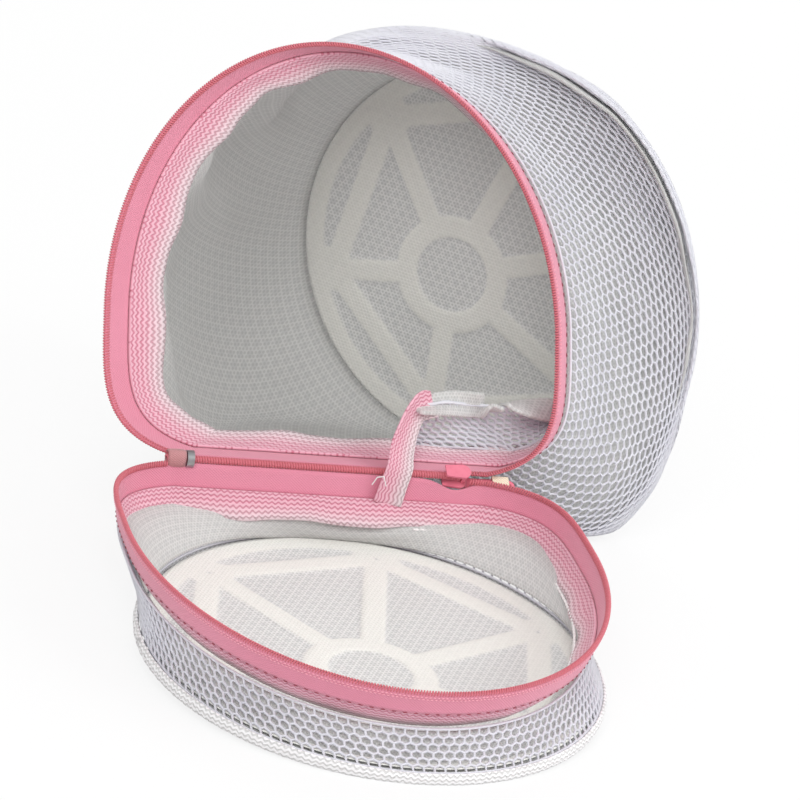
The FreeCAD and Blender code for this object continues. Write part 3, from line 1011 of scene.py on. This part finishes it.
# %% Stitch rows
def stitch_row(name, path, pitch, radius, length, material):
    """Short dashes of thread along a path, every one a tiny six-sided bead."""
    bm = bmesh.new()
    count = int(sum((b - a).length for a, b in zip(path, path[1:])) / pitch)
    step = (len(path) - 1) / count
    for k in range(count):
        place = k * step
        i = min(int(place), len(path) - 2)
        spot = path[i].lerp(path[i + 1], place - i)
        run = (path[i + 1] - path[i]).normalized()
        made = bmesh.ops.create_uvsphere(bm, u_segments=6, v_segments=4, radius=1.0)["verts"]
        size = Matrix.Diagonal((radius, radius, length / 2, 1))
        turned = run.to_track_quat("Z", "Y").to_matrix().to_4x4()
        bmesh.ops.transform(bm, matrix=Matrix.Translation(spot) @ turned @ size, verts=made)
    print(name, count, "stitches")
    return to_object(bm, name, material)


def rim_path(skin, flip, low, high, depth, inset, count=700):
    """Points round the rim at one depth, between two shares of its length."""
    return [inward(skin, low + (high - low) * k / count, depth, inset, flip) for k in range(count + 1)]


stitch_start, thread_inset = coil_low + 0.012, 0.0001
for body, skin, flip in (("drum", drum_band, 1), ("lid", lid_band, -1)):
    for number, depth in enumerate((0.0027, 0.0036)):
        path = rim_path(skin, flip, stitch_start, coil_high, depth, thread_inset)
        row = stitch_row(f"{body}_coil_stitches_{number}", path, 0.0014, 0.00022, 0.0009, stitch_finish)
        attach(row, body)

# %% Edge threads of the bindings
for body, skin, flip in (("drum", drum_band, 1), ("lid", lid_band, -1)):
    path = rim_path(skin, flip, 0.0, 1.0, tape_end - 0.0004, thread_inset)
    row = stitch_row(f"{body}_binding_stitches", path, 0.0036, 0.0002, 0.0016, red_thread_finish)
    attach(row, body)
path = rim_path(lid_band, -1, 0.06, 0.60, wall_start + 0.0026, 0.0050)
braid = stitch_row("lid_braided_edge", path, 0.0021, 0.0006, 0.0026, white_thread_finish)
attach(braid, "lid")

# %% [markdown]
# ## Small fabric parts
#
# A strap of net over tape ties lid and drum together, a folded tab closes the zip's end, and
# a cream elastic loop keeps the puller down in the wash. The soft ones are ribbons swept
# along a route of a few listed points.

# %% Hinge strap
def ribbon(name, route, width, thickness, material, twist=0.0, rows=6, samples=60, across=X):
    """A band swept along a smooth route, turned by twist from one end to the other."""
    data = bpy.data.curves.new(name, "CURVE")
    data.dimensions = "3D"
    data.resolution_u = 16
    spline = data.splines.new("NURBS")
    spline.points.add(len(route) - 1)
    for item, point in zip(spline.points, route):
        item.co = (*point, 1)
    spline.order_u = 3
    spline.use_endpoint_u = True
    line = bpy.data.objects.new(name + "_line", data)
    bpy.context.scene.collection.objects.link(line)
    bpy.context.view_layer.update()
    mesh = bpy.data.meshes.new_from_object(line)
    middle = [v.co.copy() for v in mesh.vertices]
    bpy.data.objects.remove(line)
    length = sum((b - a).length for a, b in zip(middle, middle[1:]))
    bm = flat_grid(samples, rows)
    write_uv(bm, length, width)

    def place(u, v):
        k = u * (len(middle) - 1)
        i = min(int(k), len(middle) - 2)
        run = (middle[i + 1] - middle[i]).normalized()
        side = (across - run * across.dot(run)).normalized()
        side = Matrix.Rotation(twist * u, 3, run) @ side
        rise = run.cross(side)
        crown = 0.10 * width * (1 - (2 * v - 1) ** 2)
        return middle[i].lerp(middle[i + 1], k - i) + side * (width * (v - 0.5)) + rise * crown

    lay_on(bm, place)
    piece = to_object(bm, name, material)
    add_modifier(piece, "SOLIDIFY", thickness=thickness, offset=0.0)
    add_modifier(piece, "SUBSURF", levels=1, render_levels=1)
    return settle(piece)


strap_x = 0.025
strap_route = [
    hinge + Vector((strap_x - 0.004, -0.0046, -0.0105)),
    hinge + Vector((strap_x - 0.003, -0.0042, -0.0040)),
    hinge + Vector((strap_x - 0.001, -0.0030, 0.0030)),
    hinge + Vector((strap_x, 0.0020, 0.0062)),
    hinge + Vector((strap_x + 0.002, 0.0070, 0.0100)),
    hinge + Vector((strap_x + 0.005, 0.0120, 0.0160)),
    hinge + Vector((strap_x + 0.009, 0.0160, 0.0200)),
    hinge + Vector((strap_x + 0.014, 0.0180, 0.0195)),
]
strap = ribbon("hinge_strap_cloth", strap_route, 0.0105, 0.0012, binding_finish, twist=0.9)
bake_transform(strap)
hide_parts("hinge_strap")

# %% [markdown]
# The lining's loose edge twists into a rope behind the strap, and a strip of coarser net
# hangs from it down to the binding.

# %% Twisted lining edge and the coarse facing under it
edge_share = 0.175
edge_end = inward(drum_band, edge_share, wall_start, 0.0035, 1)
edge_route = [
    hinge + Vector((strap_x + 0.006, 0.0150, 0.0190)),
    hinge + Vector((strap_x + 0.018, 0.0200, 0.0195)),
    hinge + Vector((strap_x + 0.032, 0.0230, 0.0180)),
    hinge + Vector((strap_x + 0.046, 0.0210, 0.0185)),
    edge_end,
]
twisted = ribbon("twisted_lining_edge", edge_route, 0.0095, 0.0016, lining_finish, twist=4.5, samples=90)
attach(twisted, "drum")


def facing(u, v):
    """From the twisted edge down to the binding along the mouth's base."""
    place = u * (len(edge_route) - 1)
    i = min(int(place), len(edge_route) - 2)
    top = edge_route[i].lerp(edge_route[i + 1], place - i)
    foot_start = (strap_x - 0.006) / rim_length
    share = foot_start + (edge_share - foot_start) * u
    foot = inward(drum_band, share, wall_start + 0.0020, 0.0046, 1)
    hang = 0.003 * math.sin(math.pi * v) + 0.0006 * math.sin(u * 19)
    return top.lerp(foot, v) + mouth_in * hang


facing_columns, facing_rows, facing_strand = 18, 8, 0.0016
bm = honeycomb_sheet(facing_columns, facing_rows)
write_uv(bm, 0.055, 0.023)
lay_on(bm, facing)
coarse_facing = net_piece("coarse_facing", bm, thickness=facing_strand)
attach(coarse_facing, "drum")

# %% Loose thread
thread_route = [
    hinge + Vector((0.014, -0.0052, -0.0030)),
    hinge + Vector((0.0150, -0.0066, 0.0005)),
    hinge + Vector((0.0170, -0.0074, 0.0012)),
    hinge + Vector((0.0185, -0.0070, -0.0025)),
]
loose = wire("loose_thread", thread_route, 0.00022, white_thread_finish)
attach(loose, "lid")


# %% End tab
def sleeve(name, low, high, radius, material, segments=24):
    """A short soft sleeve round the chain, pinched at its ends."""
    bm = bmesh.new()
    length = high.x - low.x
    bmesh.ops.create_cone(
        bm, cap_ends=False, segments=segments, radius1=radius, radius2=radius, depth=length
    )
    lengthwise = [e for e in bm.edges if abs(e.verts[0].co.z - e.verts[1].co.z) > 1e-5]
    bmesh.ops.subdivide_edges(bm, edges=lengthwise, cuts=6)
    for vert in bm.verts:
        pinch = 1 - 0.10 * (abs(vert.co.z) / length * 2) ** 4
        vert.co.x *= pinch
        vert.co.y *= pinch * 0.85
    layer = bm.loops.layers.uv.verify()
    for face in bm.faces:
        for loop in face.loops:
            spot = loop.vert.co
            loop[layer].uv = (spot.z, math.atan2(spot.y, spot.x) * radius)
    turn = Matrix.Rotation(math.pi / 2, 4, "Y")
    middle = (low + high) / 2
    bmesh.ops.transform(bm, matrix=Matrix.Translation(middle) @ turn, verts=bm.verts)
    piece = to_object(bm, name, material)
    add_modifier(piece, "SOLIDIFY", thickness=0.0006, offset=-1.0)
    return settle(piece)


tab_low, tab_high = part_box("zip_end_tab")
tab_finish = pink_weave("dull pink tab", srgb(176, 120, 124), srgb(196, 140, 142))
tab = sleeve("end_tab_cloth", tab_low, tab_high, (tab_high.z - tab_low.z) / 2 * 1.05, tab_finish)
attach(tab, "drum")
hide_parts("zip_end_tab")
print("tab from", tab_low[:], "to", tab_high[:])

# %% Puller keeper
keeper_low, keeper_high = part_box("puller_keeper")
print("keeper from", keeper_low[:], "to", keeper_high[:])
repaint("puller_keeper", cream_finish)

# %% [markdown]
# ## Light and backdrop
#
# A pale floor and a pale sky, and three large soft lamps at a plain level. The floor and the
# backdrop look white to the camera only; the bag itself is lit gently, so that its whites
# keep their shading.

# %% Floor, lamps and sky
def stage_floor():
    bm = bmesh.new()
    bmesh.ops.create_grid(bm, x_segments=1, y_segments=1, size=3.0)
    finish = Finish("floor", roughness=0.9, specular=0.1)
    finish.shader.inputs["Base Color"].default_value = srgb(236, 236, 236)
    cloud = finish.noise(finish.place(), 3)
    finish.colour(finish.blend(cloud, srgb(234, 234, 234), srgb(238, 238, 238)))
    glow = finish.node("ShaderNodeEmission")
    glow.inputs["Color"].default_value = (1, 1, 1, 1)
    rays = finish.node("ShaderNodeLightPath")
    seen = finish.math("MULTIPLY", rays.outputs["Is Camera Ray"], 0.85)
    mixed = finish.node("ShaderNodeMixShader")
    finish.join(seen, mixed.inputs[0])
    finish.join(finish.shader.outputs[0], mixed.inputs[1])
    finish.join(glow.outputs[0], mixed.inputs[2])
    finish.join(mixed.outputs[0], finish.output.inputs["Surface"])
    floor = to_object(bm, "floor", finish.material, smooth=False)


stage_floor()


def lamp(name, place, size, power, target):
    data = bpy.data.lights.new(name, "AREA")
    data.shape = "DISK"
    data.size = size
    data.energy = power
    item = bpy.data.objects.new(name, data)
    bpy.context.scene.collection.objects.link(item)
    item.location = place
    item.rotation_mode = "QUATERNION"
    item.rotation_quaternion = (Vector(target) - Vector(place)).to_track_quat("-Z", "Y")


middle = (cad_low + cad_high) / 2
lamp("key", (-0.6, -1.1, 1.3), 1.0, 12, middle)
lamp("fill", (1.2, -0.7, 0.9), 1.2, 11, middle)
lamp("back", (0.4, 1.4, 1.2), 1.2, 9, middle)

world = bpy.data.worlds.new("sky")
bpy.context.scene.world = world
world.use_nodes = True
sky = world.node_tree.nodes["Background"]
sky.inputs["Color"].default_value = (0.9, 0.9, 0.9, 1)
rays = world.node_tree.nodes.new("ShaderNodeLightPath")
level = world.node_tree.nodes.new("ShaderNodeMapRange")
room_light, backdrop_light = 0.72, 1.12
level.inputs["To Min"].default_value = room_light
level.inputs["To Max"].default_value = backdrop_light
world.node_tree.links.new(rays.outputs["Is Camera Ray"], level.inputs["Value"])
world.node_tree.links.new(level.outputs["Result"], sky.inputs["Strength"])
bpy.context.scene.view_settings.view_transform = "Standard"

# %% Print the imported model's size and finish
bpy.context.view_layer.update()
print("cad", [round(v, 4) for v in cad_high - cad_low])
